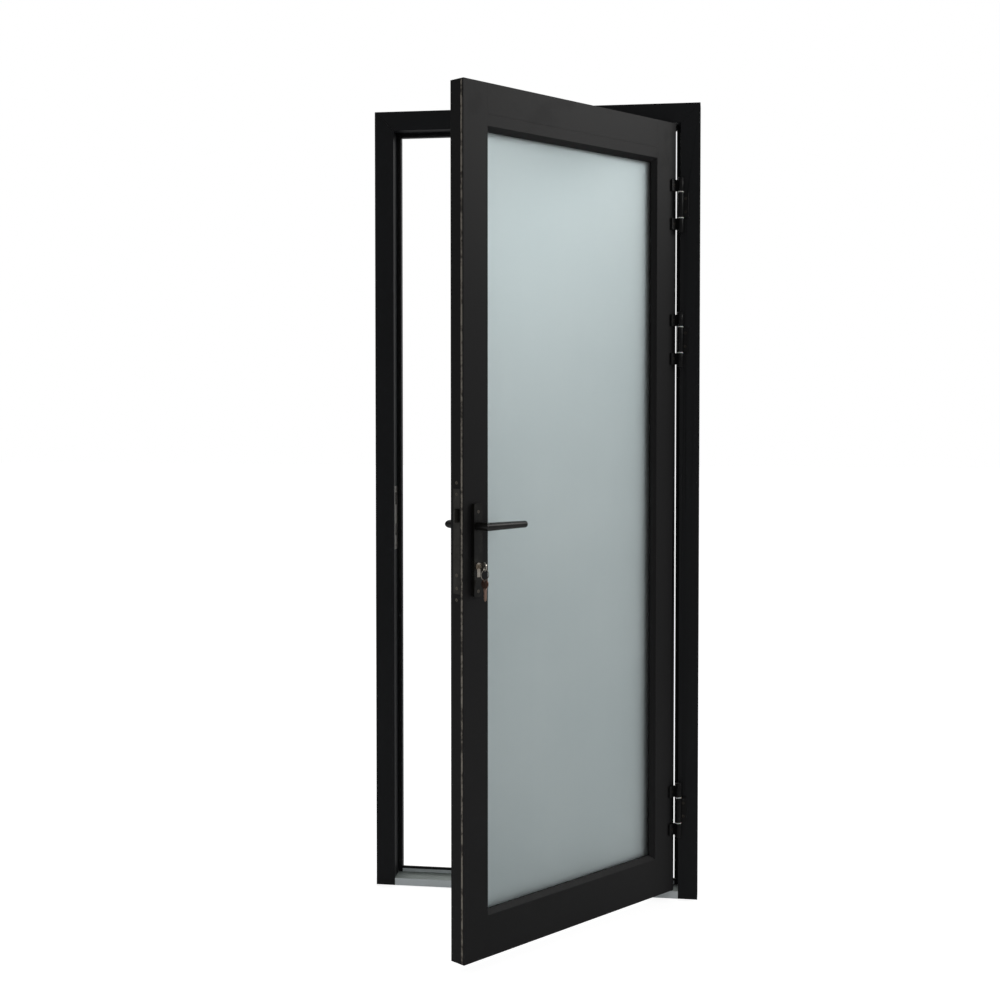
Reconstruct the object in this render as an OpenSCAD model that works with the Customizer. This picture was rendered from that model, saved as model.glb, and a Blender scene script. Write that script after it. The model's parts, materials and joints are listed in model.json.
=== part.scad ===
// Single-leaf glazed entrance door in its own aluminium frame.
// The frame stands on z = 0, x runs from the lock jamb to the hinge jamb,
// and y runs from the pull side to the back, with y = 0 in the middle of the frame.

/* [Frame] */
// Overall width of the frame
frame_w = 870; // [700:5:1200]
// Overall height of the frame
frame_h = 2100; // [1700:5:2600]
// Depth of the frame from front to back
frame_depth = 65; // [60:1:100]
// Width of the front face of the jambs and of the head
frame_face = 51; // [42:1:80]
// How far the stop stands in past the jamb
stop_w = 11; // [7:1:16]
// Depth of the rebate that the leaf closes into
rebate_depth = 47; // [46:1:56]
// Wall of the frame extrusions
frame_wall = 2.5; // [2:0.1:3]
// Leg of the corner cleats inside the head corners
frame_cleat_leg = 110; // [80:5:160]

/* [Threshold] */
// Height of the threshold at its front edge
sill_front_h = 20; // [16:1:30]
// Rise of the threshold deck from front to back
sill_rise = 4; // [2:0.5:6]
// Height of the upstand above the back of the deck
sill_upstand = 9; // [6:1:14]
// Wall of the threshold extrusion
sill_wall = 2; // [1.6:0.1:3]
// Height of the rubber seal on the upstand
sill_seal_h = 7; // [5:0.5:9]

/* [Leaf] */
// How far the leaf stands open, in degrees
open_angle = 53; // [0:1:100]
// Gap between the leaf and each jamb
side_gap = 4; // [3:0.5:6]
// Gap between the leaf and the head
top_gap = 4; // [3:0.5:6]
// Gap between the leaf and the front of the threshold
bottom_gap = 6; // [5.5:0.5:10]
// Thickness of the leaf
leaf_t = 43; // [42:1:48]
// Wall of the leaf extrusions
leaf_wall = 2; // [1.6:0.1:2.5]
// Width of the flat face of the stiles
stile_face = 76; // [72:1:110]
// Width of the flat face of the rails
rail_face = 98; // [80:1:160]
// Sloped edge around the glass
chamfer = 11; // [6:1:14]
// Blunt land at the foot of the sloped edge
nose_land = 1.5; // [1:0.1:2]
// Width of the face of the glass rebate, behind the flat faces
rebate_back = 6; // [4:1:10]
// Width of the top rail above its cover strip
top_rail_face = 71; // [55:1:75]

/* [Glass] */
// Thickness of the frosted pane
glass_t = 8; // [4:0.5:10]
// Space between the edge of the pane and the rebate
glass_edge_gap = 5; // [4:0.5:6]
// Thickness of the gasket on the pull side
outer_gasket_t = 2; // [1.5:0.5:4]
// Thickness of the gasket on the back
inner_gasket_t = 3; // [2:0.5:4]
// Length of a setting block
block_l = 100; // [60:5:150]

/* [Lock] */
// Height of the handle spindle above the floor
handle_z = 1033; // [900:1:1150]
// Distance from the spindle down to the cylinder
lock_spacing = 92; // [72:1:92]
// Distance from the leaf edge to the spindle
backset = 37; // [35:1:40]
// Width of the lock's faceplate
faceplate_w = 22; // [20:1:24]
// Length of the lock's faceplate
faceplate_l = 240; // [232:1:260]
// Thickness of the lock's faceplate
faceplate_t = 2.5; // [2:0.1:3]
// Thickness of the lock case
case_t = 18; // [16:1:20]
// Thickness of the latch bolt
latch_t = 14; // [10:1:14]
// Height of the latch bolt
latch_h = 30; // [24:1:32]
// Travel of the latch bolt
latch_throw = 12; // [8:1:12]
// Thickness of the deadbolt
deadbolt_t = 10; // [8:1:12]
// Height of the deadbolt
deadbolt_h = 28; // [20:1:30]
// Square of the handle spindle
spindle_sq = 8; // [7:1:9]

/* [Handles] */
// Width of the backplates
plate_w = 26; // [25:1:32]
// Height of the backplates
plate_h = 214; // [200:1:240]
// Thickness of the backplates
plate_t = 10; // [9:0.5:12]
// Reach of the lever from its spindle
lever_l = 125; // [110:1:145]
// Diameter of the lever's round neck
lever_d = 19.6; // [18:0.2:20]
// Diameter of the lever at its tip
lever_tip_d = 16; // [14:0.5:18]
// How far the lever stands out from the leaf
lever_out = 50; // [45:1:65]
// Radius of the lever's journal in the backplate
journal_r = 8; // [7.5:0.1:8.2]

/* [Keys] */
// Radius of the key bows
bow_r = 11; // [9:0.5:12]
// Thickness of the keys
key_t = 2.2; // [1.8:0.1:2.4]
// Length of a key's blade
blade_l = 29; // [24:1:30]
// Radius of the split ring, to the middle of its wire
ring_r = 12; // [10:0.5:13]
// Radius of the split ring's wire
ring_wire_r = 0.9; // [0.6:0.1:1.2]

/* [Hinges] */
// Heights of the hinge centres below the top of the leaf, then above its bottom
hinge_drop_1 = 212; // [180:1:260]
// Second hinge centre below the top of the leaf
hinge_drop_2 = 563; // [420:1:640]
// Third hinge centre above the bottom of the leaf
hinge_rise_3 = 215; // [180:1:260]
// Radius of the hinge barrels
barrel_r = 7.5; // [7:0.5:9]
// Radius of the hinge pins
pin_r = 4; // [3:0.5:4.5]
// Height of the middle knuckle
knuckle_h = 65; // [50:1:80]
// Height of a wing's knuckle
wing_h = 30; // [24:1:36]
// Thickness of the washers
washer_h = 2.5; // [2:0.5:3]
// Distance from the leaf's edge to the hinge axis
axis_inset = 4.5; // [4:0.5:6]
// Distance from the faces forward to the hinge axis
axis_out = 12; // [11:0.5:14]
// Reach of a wing from the hinge axis
wing_reach = 26; // [24:1:36]
// Reach of the frame plate from the hinge axis
frame_reach = 21; // [18:0.5:24]
// Thickness of the hinge plates
hinge_plate_t = 5; // [4:0.5:6]

/* [Hidden] */

$fn = 48;
// Thin joint between two butted or mitred members
joint_gap = 0.1;
// Clearance of a loose fit, such as a plate in its recess
fit = 0.2;
// Running clearance of a pin or a shaft
run = 0.05;
// Length by which a cut runs past what it cuts
past = 1;

// Frame
half_w = frame_w / 2;
reveal_x = half_w - frame_face;
stop_x = reveal_x - stop_w;
reveal_z = frame_h - frame_face;
anchor_r = 4;
anchor_z0 = 250;
anchor_step = (frame_h - 2 * anchor_z0) / 3;
anchor_y = rebate_depth / 2;

// Threshold
deck_back_h = sill_front_h + sill_rise;
upstand_y = rebate_depth + 1;
upstand_top = deck_back_h + sill_upstand;
seal_reach = 0.4;

// Leaf in its closed place
leaf_x = reveal_x - side_gap;
leaf_z0 = sill_front_h + bottom_gap;
leaf_z1 = reveal_z - top_gap;
stile_body = stile_face - rebate_back;
rail_body = rail_face - rebate_back;
lip_y = chamfer + nose_land;
sight_u = stile_face + chamfer;
sight_w = rail_face + chamfer;
glass_y = lip_y + outer_gasket_t;
bead_y = glass_y + glass_t + inner_gasket_t;
bead_over = 1;
rail_web = rail_body / 2;
strip_gap = 0.3;
cleat_l = 45;
cleat_fit = 0.3;
corner_screw_r = 3;
corner_screw_x = 10;

// Seal in the lock edge of the leaf
edge_seal_y = 4;
edge_seal_w = 5.3;
edge_seal_deep = 1;
edge_seal_out = 0.8;

// Lock, measured from the lock edge (u), the front face (y) and the floor (z)
lock_y = 24;
cyl_z = handle_z - lock_spacing;
spindle_x = -leaf_x + backset;
plate_mid_z = handle_z - 55;
face_mid_z = handle_z - 35;
face_z0 = face_mid_z - faceplate_l / 2;
face_z1 = face_mid_z + faceplate_l / 2;
face_screw_in = 12.5;
edge_screw_out = 14;
case_u0 = faceplate_t + 0.5;
case_u1 = 63;
case_wall = 1.5;
case_z0 = face_z0 + face_screw_in + 8;
case_z1 = face_z1 - face_screw_in - 7;
latch_z = handle_z + 24;
latch_tail_z0 = handle_z + 18;
latch_tail_h = 10;
arm_r = 17;
arm_w = 6;
latch_slack = 0.9;
follower_r = 9;
deadbolt_z = cyl_z + 32;
plate_screw_up = 33;
plate_screw_low = lock_spacing + 57;
plate_screw_r = 2.5;

// Cylinder
cyl_r = 8.5;
cyl_lobe = 10;
cyl_total = 33;
cyl_proud = 1;
plug_r = 6.5;
plug_proud = 0.5;
plug_tail_r = 4;
cam_gap = 10;
cam_r = 8.2;
cam_reach = 15.3;
cyl_screw_drop = 20.5;
cyl_screw_r = 2.5;
keyway_h = 8.6;

// Levers
lever_gap = 0.3;
lever_front = 15;
mitre_step = 0.05;
tip_round = 5;
spring_recess_r = 11.2;
spring_recess = 7;
spring_r = 9.8;
spring_wire_r = 0.7;
spring_turns = 3;

// Keys
bow_out = 15;
bow_hole_r = 3;
bow_hole_in = 4.5;
blade_h = 8.2;
hole_y = -plate_t - cyl_proud - bow_out - bow_hole_in - 0.5;
hole_z = cyl_z - bow_hole_in;
ring_rest = 0.3;
ring_top_z = hole_z - bow_hole_r + ring_rest + ring_wire_r;
ring_low_z = ring_top_z - 2 * ring_r;
spare_hole_z = ring_low_z - bow_hole_r + ring_rest + ring_wire_r;

// Strike plate
strike_t = 1.5;
strike_y0 = 8;
strike_w = 34;
strike_over = 19;
strike_z0 = deadbolt_z - deadbolt_h / 2 - 40;
strike_z1 = latch_z + latch_h / 2 + strike_over;
strike_screw_in = 10;

// Hinges
axis_x = leaf_x + axis_inset;
axis_y = -axis_out;
hinge_z = [leaf_z1 - hinge_drop_1, leaf_z1 - hinge_drop_2, leaf_z0 + hinge_rise_3];
cap_h = 6.5;
wing_z0 = knuckle_h / 2 + washer_h + 0.15;
wing_z1 = wing_z0 + wing_h;
frame_plate_h = knuckle_h - 1;
washer_r = 8;
small_screw_r = 2;
small_screw_l = 16;
small_head_r = 4;
wing_screw_u = 12;
frame_screw_z = 17.5;
frame_screw_x = axis_x + 13;

frame_color = [0.13, 0.135, 0.14];
leaf_color = [0.19, 0.195, 0.20];
rubber_color = [0.05, 0.05, 0.05];
alu_color = [0.72, 0.74, 0.72];
steel_color = [0.78, 0.77, 0.74];
handle_color = [0.16, 0.16, 0.15];
glass_color = [0.72, 0.77, 0.78];

// ---- places ----

// The frame's own place: its front face is at y = 0 inside this space
module frame_space() {
    translate([0, -frame_depth / 2, 0])
        children();
}

// The leaf is described closed, and this turns it about the hinge axis
module leaf_space() {
    frame_space()
        translate([axis_x, axis_y, 0])
            rotate([0, 0, open_angle])
                translate([-axis_x, -axis_y, 0])
                    children();
}

// u runs in from the lock edge
module from_lock_edge() {
    leaf_space()
        translate([-leaf_x, 0, 0])
            children();
}

// ---- small helpers ----

module box(low, high) {
    translate(low)
        cube(high - low);
}

// A rod along x, y or z
module rod_x(x0, x1, y, z, r) {
    translate([x0, y, z])
        rotate([0, 90, 0])
            cylinder(h = x1 - x0, r = r);
}

module rod_y(y0, y1, x, z, r) {
    translate([x, y0, z])
        rotate([-90, 0, 0])
            cylinder(h = y1 - y0, r = r);
}

module rod_z(z0, z1, x, y, r) {
    translate([x, y, z0])
        cylinder(h = z1 - z0, r = r);
}

// An outline in x and z pushed along y
module along_y(y0, y1) {
    translate([0, y1, 0])
        rotate([90, 0, 0])
            linear_extrude(height = y1 - y0)
                children();
}

// An outline in y and z pushed along x
module along_x(x0, x1) {
    translate([x0, 0, 0])
        rotate([90, 0, 90])
            linear_extrude(height = x1 - x0)
                children();
}

// A rectangle with another cut out of it, both given by half width and two heights
module ring_2d(outer_x, outer_z0, outer_z1, inner_x, inner_z0, inner_z1) {
    difference() {
        translate([-outer_x, outer_z0])
            square([2 * outer_x, outer_z1 - outer_z0]);
        translate([-inner_x, inner_z0])
            square([2 * inner_x, inner_z1 - inner_z0]);
    }
}

// A countersunk screw whose head is flush with z = 0 and whose shank runs down
module csk_screw(r, head_r, length) {
    rotate_extrude()
        polygon([[0, 0], [head_r, 0], [r, r - head_r], [r, -length], [0, -length]]);
}

// The hole for that screw
module csk_hole(r, head_r, length) {
    translate([0, 0, past])
        rotate_extrude()
            polygon([
                [0, 0], [head_r + fit, 0], [head_r + fit, -past],
                [r + run, r - head_r - past - fit], [r + run, -length - past], [0, -length - past]
            ]);
}

// A rounded rectangle made of true arcs
module round_rect(w, h, r) {
    square([w - 2 * r, h], center = true);
    square([w, h - 2 * r], center = true);
    for (sx = [-1, 1], sz = [-1, 1])
        translate([sx * (w / 2 - r), sz * (h / 2 - r)])
            circle(r = r);
}

// ---- frame ----

// Section of the jambs and the head: u runs in from the outer face, y runs back
module frame_section() {
    difference() {
        polygon([
            [0, 0], [frame_face, 0], [frame_face, rebate_depth],
            [frame_face + stop_w, rebate_depth], [frame_face + stop_w, frame_depth], [0, frame_depth]
        ]);
        translate([frame_wall, frame_wall])
            square([frame_face - 2 * frame_wall, rebate_depth - frame_wall]);
        translate([frame_wall, rebate_depth + frame_wall])
            square([frame_face + stop_w - 2 * frame_wall, frame_depth - rebate_depth - 2 * frame_wall]);
        translate([frame_face + side_gap + 1.5, rebate_depth - past])
            square([2, past + 1.5]);
    }
}

// Everything on the far side of a corner's mitre line
module frame_mitre(shift) {
    big = 2 * frame_face + 2 * stop_w;
    for (s = [-1, 1])
        scale([s, 1, 1])
            along_y(-past, frame_depth + past)
                polygon([
                    [half_w + past, frame_h + past + shift],
                    [half_w - big, frame_h - big + shift],
                    [half_w - big, frame_h + 2 * big],
                    [half_w + past, frame_h + 2 * big]
                ]);
}

module jamb() {
    difference() {
        translate([-half_w, 0, 0])
            linear_extrude(height = frame_h)
                frame_section();
        frame_mitre(-joint_gap);
        for (i = [0:3])
            rod_x(-half_w - past, -half_w + frame_wall + past, anchor_y, anchor_z0 + i * anchor_step, anchor_r);
    }
}

module strike_outline(grow) {
    translate([strike_y0 - grow, strike_z0 - grow])
        square([strike_w + 2 * grow, strike_z1 - strike_z0 + 2 * grow]);
}

module strike_openings() {
    latch_free = 2;
    translate([lock_y - latch_t / 2 - 1, latch_z - latch_h / 2 - latch_free])
        square([latch_t + 2, latch_h + 2 * latch_free]);
    translate([lock_y - deadbolt_t / 2 - 1, deadbolt_z - deadbolt_h / 2 - latch_free])
        square([deadbolt_t + 2, deadbolt_h + 2 * latch_free]);
}

module strike_screw_places() {
    for (z = [strike_z0 + strike_screw_in, strike_z1 - strike_screw_in])
        translate([-reveal_x, strike_y0 + strike_w / 2, z])
            rotate([0, 90, 0])
                children();
}

module frame_lock_jamb() {
    color(frame_color)
        frame_space()
            difference() {
                jamb();
                along_x(-reveal_x - strike_t, -reveal_x + past)
                    strike_outline(fit);
                along_x(-reveal_x - frame_wall - past, -reveal_x + past)
                    strike_openings();
                strike_screw_places()
                    csk_hole(small_screw_r, small_head_r, small_screw_l);
            }
}

module frame_hinge_jamb() {
    color(frame_color)
        frame_space()
            difference() {
                scale([-1, 1, 1])
                    jamb();
                hinge_frame_screw_places()
                    csk_hole(small_screw_r, small_head_r, small_screw_l);
            }
}

module frame_head() {
    color(frame_color)
        frame_space()
            difference() {
                translate([-half_w, 0, frame_h])
                    rotate([0, 90, 0])
                        linear_extrude(height = frame_w)
                            frame_section();
                head_ends();
            }
}

// What the mitres leave to the jambs
module head_ends() {
    big = 2 * frame_face + 2 * stop_w;
    for (s = [-1, 1])
        scale([s, 1, 1])
            along_y(-past, frame_depth + past)
                polygon([
                    [half_w + past, frame_h + past + joint_gap],
                    [half_w - big, frame_h - big + joint_gap],
                    [half_w + past, frame_h - big]
                ]);
}

// L-shaped blocks that hold the mitred head corners
module frame_corner_cleats() {
    inner = frame_wall + cleat_fit;
    color(alu_color)
        frame_space()
            for (s = [-1, 1])
                scale([s, 1, 1])
                    along_y(inner, rebate_depth - cleat_fit)
                        difference() {
                            translate([half_w - frame_cleat_leg, frame_h - frame_cleat_leg])
                                square(frame_cleat_leg - inner);
                            translate([half_w - frame_cleat_leg - past, frame_h - frame_cleat_leg - past])
                                square(frame_cleat_leg - frame_face + inner + past);
                        }
}

module frame_gasket() {
    outer = reveal_x - side_gap - 0.5;
    wide = 4;
    foot = 1.8;
    top = reveal_z - top_gap - 0.5;
    start = upstand_top + sill_seal_h + 1;
    mid = reveal_x - side_gap - 2.5;
    color(rubber_color)
        frame_space() {
            along_y(leaf_t + seal_reach, rebate_depth)
                ring_2d(outer, start, top, outer - wide, start - past, top - wide);
            along_y(rebate_depth - 0.5, rebate_depth + 1.4)
                ring_2d(mid + foot / 2, start, top - outer + mid + foot / 2,
                    mid - foot / 2, start - past, top - outer + mid - foot / 2);
        }
}

// Top of the deck at depth y
function deck_z(y) = sill_front_h + sill_rise * y / upstand_y;

module sill_section() {
    w = sill_wall;
    mid = upstand_y / 2;
    difference() {
        polygon([
            [0, 0], [frame_depth, 0], [frame_depth, upstand_top],
            [upstand_y, upstand_top], [upstand_y, deck_back_h], [0, sill_front_h]
        ]);
        polygon([[w, w], [mid - w / 2, w], [mid - w / 2, deck_z(mid) - w], [w, deck_z(w) - w]]);
        polygon([
            [mid + w / 2, w], [upstand_y - w, w],
            [upstand_y - w, deck_z(upstand_y - w) - w], [mid + w / 2, deck_z(mid) - w]
        ]);
        polygon([
            [upstand_y, w], [frame_depth - w, w], [frame_depth - w, upstand_top - w],
            [upstand_y + w, upstand_top - w], [upstand_y + w, deck_back_h - w], [upstand_y, deck_back_h - w]
        ]);
    }
}

module threshold() {
    color(alu_color)
        frame_space()
            difference() {
                along_x(-reveal_x + joint_gap, reveal_x - joint_gap)
                    sill_section();
                for (s = [-1, 1])
                    scale([s, 1, 1])
                        box([stop_x - joint_gap, rebate_depth - joint_gap, -past],
                            [half_w, frame_depth + past, upstand_top + past]);
            }
}

module threshold_seal() {
    front = leaf_t + seal_reach;
    z0 = upstand_top;
    z1 = upstand_top + sill_seal_h;
    color(rubber_color)
        frame_space()
            along_x(-stop_x + cleat_fit, stop_x - cleat_fit)
                polygon([
                    [upstand_y, z0], [upstand_y + 8, z0], [upstand_y + 8, z0 + 3],
                    [upstand_y + 2, z1], [front, z1], [front, z0 + 1.5], [upstand_y, z0 + 0.5]
                ]);
}

module strike_plate() {
    color(steel_color)
        frame_space()
            difference() {
                along_x(-reveal_x - strike_t, -reveal_x)
                    difference() {
                        strike_outline(0);
                        strike_openings();
                    }
                strike_screw_places()
                    csk_hole(small_screw_r, small_head_r, small_screw_l);
            }
}

module frame_hardware_screws() {
    color(steel_color)
        frame_space() {
            strike_screw_places()
                csk_screw(small_screw_r, small_head_r, small_screw_l);
            hinge_frame_screw_places()
                csk_screw(small_screw_r, small_head_r, small_screw_l);
        }
}

// ---- hinges ----

module hinge_frame_screw_places() {
    for (zc = hinge_z, s = [-1, 1])
        translate([frame_screw_x, -hinge_plate_t, zc + s * frame_screw_z])
            rotate([90, 0, 0])
                children();
}

module wing_screw_places() {
    for (zc = hinge_z, s = [-1, 1])
        translate([leaf_x - wing_screw_u, -hinge_plate_t, zc + s * (wing_z0 + wing_h / 2)])
            rotate([90, 0, 0])
                children();
}

// A plate on a face and the web that joins it to the barrel; side is 1 towards the jamb
module hinge_plate_2d(side, reach, root) {
    translate([axis_x, 0])
        scale([side, 1])
            polygon([
                [root, 0], [reach - 1.5, 0], [reach, -1.5], [reach, -hinge_plate_t + 1],
                [reach - 1, -hinge_plate_t], [barrel_r, -hinge_plate_t], [barrel_r - 0.5, axis_y],
                [0, axis_y], [root, -barrel_r / 2]
            ]);
}

module hinge_frame_plate(i) {
    color(frame_color)
        frame_space()
            difference() {
                union() {
                    rod_z(hinge_z[i] - knuckle_h / 2, hinge_z[i] + knuckle_h / 2, axis_x, axis_y, barrel_r);
                    translate([0, 0, hinge_z[i] - frame_plate_h / 2])
                        linear_extrude(height = frame_plate_h)
                            hinge_plate_2d(1, frame_reach, 1);
                }
                rod_z(hinge_z[i] - knuckle_h, hinge_z[i] + knuckle_h, axis_x, axis_y, pin_r + run);
                hinge_frame_screw_places()
                    csk_hole(small_screw_r, small_head_r, small_screw_l);
            }
}

// One leaf-side wing: s is 1 for the upper wing and -1 for the lower one
module hinge_wing(i, s) {
    z0 = hinge_z[i] + (s > 0 ? wing_z0 : -wing_z1);
    foot = s > 0 ? 0 : cap_h;
    color(frame_color)
        leaf_space()
            difference() {
                union() {
                    rod_z(z0 - foot, z0 + wing_h, axis_x, axis_y, barrel_r);
                    translate([0, 0, z0])
                        linear_extrude(height = wing_h)
                            hinge_plate_2d(-1, wing_reach, axis_inset + 0.5);
                }
                rod_z(z0 - (s > 0 ? past : 0), z0 + wing_h + past, axis_x, axis_y, pin_r + run);
                wing_screw_places()
                    csk_hole(small_screw_r, small_head_r, small_screw_l);
            }
}

// The pins with the caps that form their heads
module hinge_pins() {
    color(frame_color)
        leaf_space()
            for (zc = hinge_z) {
                rod_z(zc - wing_z1 + 0.1, zc + wing_z1 + 1, axis_x, axis_y, pin_r);
                translate([axis_x, axis_y, zc + wing_z1 + 0.1])
                    rotate_extrude()
                        polygon([
                            [0, 0], [barrel_r, 0], [barrel_r, cap_h - 1.5],
                            [barrel_r - 1.5, cap_h], [0, cap_h]
                        ]);
            }
}

module hinge_washers() {
    color("white")
        frame_space()
            for (zc = hinge_z, s = [-1, 1])
                translate([axis_x, axis_y, zc + s * (knuckle_h / 2 + 0.05 + washer_h / 2)])
                    difference() {
                        cylinder(h = washer_h, r = washer_r, center = true);
                        cylinder(h = 2 * washer_h, r = pin_r + 2 * run, center = true);
                    }
}

module hinge_wing_screws() {
    color(steel_color)
        leaf_space()
            wing_screw_places()
                csk_screw(small_screw_r, small_head_r, small_screw_l);
}

// ---- leaf members ----

// Hollow nose that carries the sloped edge, from the body's face at u = start
module nose_hollow(start, face) {
    w = leaf_wall;
    polygon([
        [start, w], [face - w * 0.41, w], [face + chamfer - w * 1.7, lip_y - w], [start, lip_y - w]
    ]);
}

module stile_section() {
    w = leaf_wall;
    difference() {
        polygon([
            [0, 0], [stile_face, 0], [sight_u, chamfer], [sight_u, lip_y],
            [stile_body, lip_y], [stile_body, leaf_t], [0, leaf_t]
        ]);
        translate([w, w])
            square([stile_body - 2 * w, leaf_t - 2 * w]);
        nose_hollow(stile_body, stile_face);
    }
}

// The sloped nose stops at a mitre where each rail begins
module stile_nose_cuts() {
    deep = chamfer + past;
    along_y(-past, lip_y + past)
        for (low = [true, false])
            translate([stile_face, low ? leaf_z0 + rail_face : leaf_z1 - rail_face])
                scale([1, low ? 1 : -1])
                    polygon([
                        [joint_gap, joint_gap], [deep, deep], [deep, -rail_face - past],
                        [joint_gap, -rail_face - past]
                    ]);
}

// Places of the corner screws: x is the direction in which they are driven
module corner_screw_places() {
    for (low = [true, false], s = [-1, 1])
        translate([0, leaf_t / 2, low ? leaf_z0 : leaf_z1])
            scale([1, 1, low ? 1 : -1])
                translate([0, 0, rail_web / 2 + s * corner_screw_x])
                    children();
}

module stile() {
    difference() {
        translate([-leaf_x, 0, leaf_z0])
            linear_extrude(height = leaf_z1 - leaf_z0)
                stile_section();
        translate([-leaf_x, 0, 0])
            stile_nose_cuts();
        corner_screw_places()
            rod_x(-leaf_x + stile_body - 2 * leaf_wall, -leaf_x + stile_body + past, 0, 0, corner_screw_r + fit);
    }
}

// Outline of a profile cylinder, in x and z about the plug's axis
module cylinder_2d(grow) {
    circle(r = cyl_r + grow);
    translate([-cyl_lobe / 2 - grow, -cyl_total + cyl_r - grow])
        square([cyl_lobe + 2 * grow, cyl_total - cyl_r + grow]);
}

module plate_screw_places() {
    for (z = [handle_z + plate_screw_up, handle_z - plate_screw_low])
        translate([spindle_x, 0, z])
            children();
}

module edge_screw_places(z_list) {
    for (z = z_list)
        translate([-leaf_x, lock_y, z])
            rotate([0, -90, 0])
                children();
}

face_screw_z = [face_z0 + face_screw_in, face_z1 - face_screw_in];
wall_screw_z = [face_z0 - edge_screw_out, face_z1 + edge_screw_out];

module leaf_lock_stile() {
    color(leaf_color)
        leaf_space()
            difference() {
                stile();
                box([-leaf_x - past, lock_y - faceplate_w / 2 - fit / 2, face_z0 - fit],
                    [-leaf_x + leaf_wall + past, lock_y + faceplate_w / 2 + fit / 2, face_z1 + fit]);
                box([-leaf_x - past, edge_seal_y, leaf_z0 - past],
                    [-leaf_x + edge_seal_deep, edge_seal_y + edge_seal_w, leaf_z1 + past]);
                rod_y(-past, leaf_t + past, spindle_x, handle_z, follower_r + 1);
                translate([spindle_x, 0, cyl_z])
                    along_y(-past, leaf_t + past)
                        cylinder_2d(0.5);
                plate_screw_places()
                    rod_y(-past, leaf_t + past, 0, 0, plate_screw_r + 0.5);
                edge_screw_places(wall_screw_z)
                    csk_hole(small_screw_r, small_head_r, small_screw_l);
            }
}

module leaf_hinge_stile() {
    color(leaf_color)
        leaf_space()
            difference() {
                scale([-1, 1, 1])
                    stile();
                wing_screw_places()
                    cylinder(h = 2 * small_screw_l, r = small_screw_r + run, center = true);
            }
}

// Sections of the rails: w runs in from the outer edge, y runs back
module bottom_rail_section() {
    w = leaf_wall;
    difference() {
        polygon([
            [0, 0], [rail_face, 0], [sight_w, chamfer], [sight_w, lip_y],
            [rail_body, lip_y], [rail_body, leaf_t], [0, leaf_t]
        ]);
        translate([w, w])
            square([rail_web - 1.5 * w, leaf_t - 2 * w]);
        translate([rail_web + w / 2, w])
            square([rail_body - rail_web - 1.5 * w, leaf_t - 2 * w]);
        nose_hollow(rail_body, rail_face);
    }
}

module top_rail_section() {
    w = leaf_wall;
    step = lip_y + fit;
    difference() {
        polygon([
            [0, 0], [top_rail_face, 0], [top_rail_face, step],
            [rail_body, step], [rail_body, leaf_t], [0, leaf_t]
        ]);
        translate([w, w])
            square([rail_web - 1.5 * w, leaf_t - 2 * w]);
        polygon([
            [rail_web + w / 2, w], [top_rail_face - w, w], [top_rail_face - w, step + w],
            [rail_body - w, step + w], [rail_body - w, leaf_t - w], [rail_web + w / 2, leaf_t - w]
        ]);
    }
}

module top_strip_section() {
    start = top_rail_face + strip_gap;
    difference() {
        polygon([[start, 0], [rail_face, 0], [sight_w, chamfer], [sight_w, lip_y], [start, lip_y]]);
        nose_hollow(start + leaf_wall, rail_face);
    }
}

// Pushes a rail section across the leaf; its w axis runs up from the bottom edge
module across(length) {
    translate([-length / 2, 0, 0])
        rotate([0, 90, 0])
            linear_extrude(height = length)
                scale([-1, 1])
                    children();
}

// Cuts that fit a rail's ends to the stiles, in the bottom rail's place
module rail_end_cuts() {
    edge = leaf_x - stile_face;
    deep = chamfer + past;
    for (s = [-1, 1])
        scale([s, 1, 1]) {
            box([edge - joint_gap, -past, -past], [leaf_x, lip_y + joint_gap, sight_w + past]);
            along_y(-past, lip_y + past)
                polygon([
                    [edge, rail_face], [edge + past, rail_face], [edge + past, rail_face + deep],
                    [edge - deep, rail_face + deep]
                ]);
        }
}

rail_length = 2 * (leaf_x - stile_body - joint_gap);

module bottom_rail_place() {
    translate([0, 0, leaf_z0])
        children();
}

module top_rail_place() {
    translate([0, 0, leaf_z1])
        scale([1, 1, -1])
            children();
}

module leaf_bottom_rail() {
    color(leaf_color)
        leaf_space()
            bottom_rail_place()
                difference() {
                    across(rail_length)
                        bottom_rail_section();
                    rail_end_cuts();
                }
}

module leaf_top_rail() {
    color(leaf_color)
        leaf_space()
            top_rail_place()
                difference() {
                    across(rail_length)
                        top_rail_section();
                    rail_end_cuts();
                }
}

module top_rail_strip() {
    color(leaf_color)
        leaf_space()
            top_rail_place()
                difference() {
                    across(rail_length)
                        top_strip_section();
                    rail_end_cuts();
                }
}

module corner_cleat() {
    x1 = leaf_x - stile_body - joint_gap;
    f = leaf_wall + cleat_fit;
    difference() {
        box([x1 - cleat_l, f, f], [x1, leaf_t - f, rail_web - leaf_wall / 2 - cleat_fit]);
        for (s = [-1, 1])
            rod_x(x1 - cleat_l - past, x1 + past, leaf_t / 2, rail_web / 2 + s * corner_screw_x, corner_screw_r + run);
        box([x1 - cleat_l - past, f + 8, rail_web / 2 - 4],
            [x1 - 10, leaf_t - f - 8, rail_web / 2 + 4]);
        box([leaf_x - stile_face - cleat_fit, 0, 0], [leaf_x, lip_y + cleat_fit, rail_web]);
    }
}

module leaf_corner_cleats() {
    color(alu_color)
        leaf_space()
            for (s = [-1, 1])
                scale([s, 1, 1]) {
                    bottom_rail_place()
                        corner_cleat();
                    top_rail_place()
                        corner_cleat();
                }
}

module leaf_corner_screws() {
    head = 4;
    u_wall = leaf_x - stile_body + leaf_wall;
    color(steel_color)
        leaf_space()
            for (s = [-1, 1])
                scale([s, 1, 1])
                    corner_screw_places() {
                        rod_x(u_wall, u_wall + head, 0, 0, 2 * corner_screw_r);
                        rod_x(u_wall - cleat_l + 8, u_wall + 1, 0, 0, corner_screw_r);
                    }
}

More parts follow.
